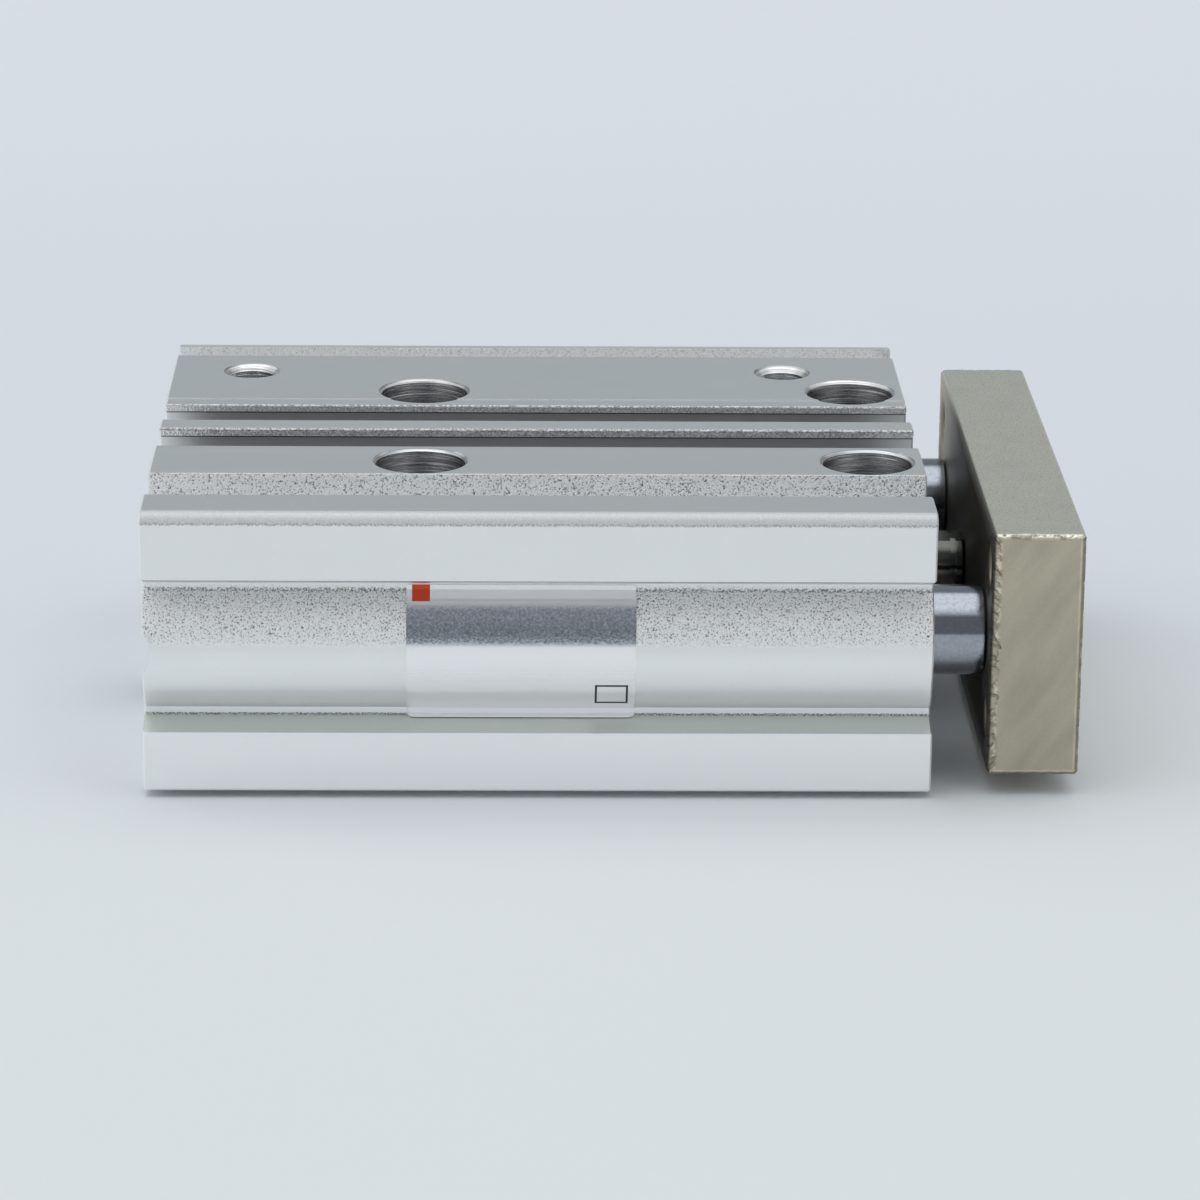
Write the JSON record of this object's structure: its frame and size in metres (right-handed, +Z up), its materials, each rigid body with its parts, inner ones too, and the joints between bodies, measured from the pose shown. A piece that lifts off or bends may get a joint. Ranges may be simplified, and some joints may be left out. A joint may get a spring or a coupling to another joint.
{
  "type": "guided pneumatic cylinder",
  "caption": "Compact guided pneumatic cylinder: slotted aluminium body, piston rod between guide rods, and a sliding end plate.",
  "frame": {"origin": "on the base plane, under the middle of the retracted unit's overall box", "axes": "+X along the stroke, towards the end plate; +Y across the guide rods, towards the air ports; +Z up, out of the slotted top"},
  "size_m": [0.082, 0.058, 0.026],
  "materials": {
    "anodised_body": "bead-blasted, satin clear anodised extrusion",
    "machined_aluminium": "turned, clear anodised",
    "nickel_plated_steel": "dull nickel plate over a milled face, worn edges",
    "hard_chrome": "ground and hard chromed, mirror bright",
    "screw_steel": "plated socket head screw",
    "spring_steel": "phosphated spring steel",
    "pressed_steel": "thin pressed ring",
    "bush_bronze": "oil-filled bearing bronze",
    "black_rubber": "moulded, slightly oily",
    "urethane": "moulded amber urethane",
    "oiled_felt": "oil-soaked wool felt",
    "bonded_magnet": "plastic-bonded ferrite",
    "label_film": "silver film, semi-gloss"
  },
  "bodies": {
    "cylinder": {"cylinder_body": "anodised_body", "rod_collar": "machined_aluminium", "head_cover": "machined_aluminium", "rod_seal": "black_rubber", "collar_gasket": "black_rubber", "head_cover_gasket": "black_rubber", "collar_bumper": "urethane", "head_bumper": "urethane", "collar_retaining_ring": "spring_steel", "head_retaining_ring": "spring_steel", "nameplate_label": "label_film", "plate_end_bush_front": "bush_bronze", "head_end_bush_front": "bush_bronze", "oil_felt_front": "oiled_felt", "felt_holder_front": "pressed_steel", "plate_end_bush_back": "bush_bronze", "head_end_bush_back": "bush_bronze", "oil_felt_back": "oiled_felt", "felt_holder_back": "pressed_steel"},
    "slide_unit": {"end_plate": "nickel_plated_steel", "piston_rod": "hard_chrome", "piston": "machined_aluminium", "piston_seal": "black_rubber", "piston_magnet": "bonded_magnet", "piston_rod_screw": "screw_steel", "guide_rod_screws": "screw_steel", "guide_rod_front": "hard_chrome", "guide_rod_back": "hard_chrome"}
  },
  "joints": [
    {"name": "stroke", "type": "slide", "parent": "cylinder", "child": "slide_unit", "axis": [1, 0, 0], "range_m": [0, 0.04]}
  ]
}
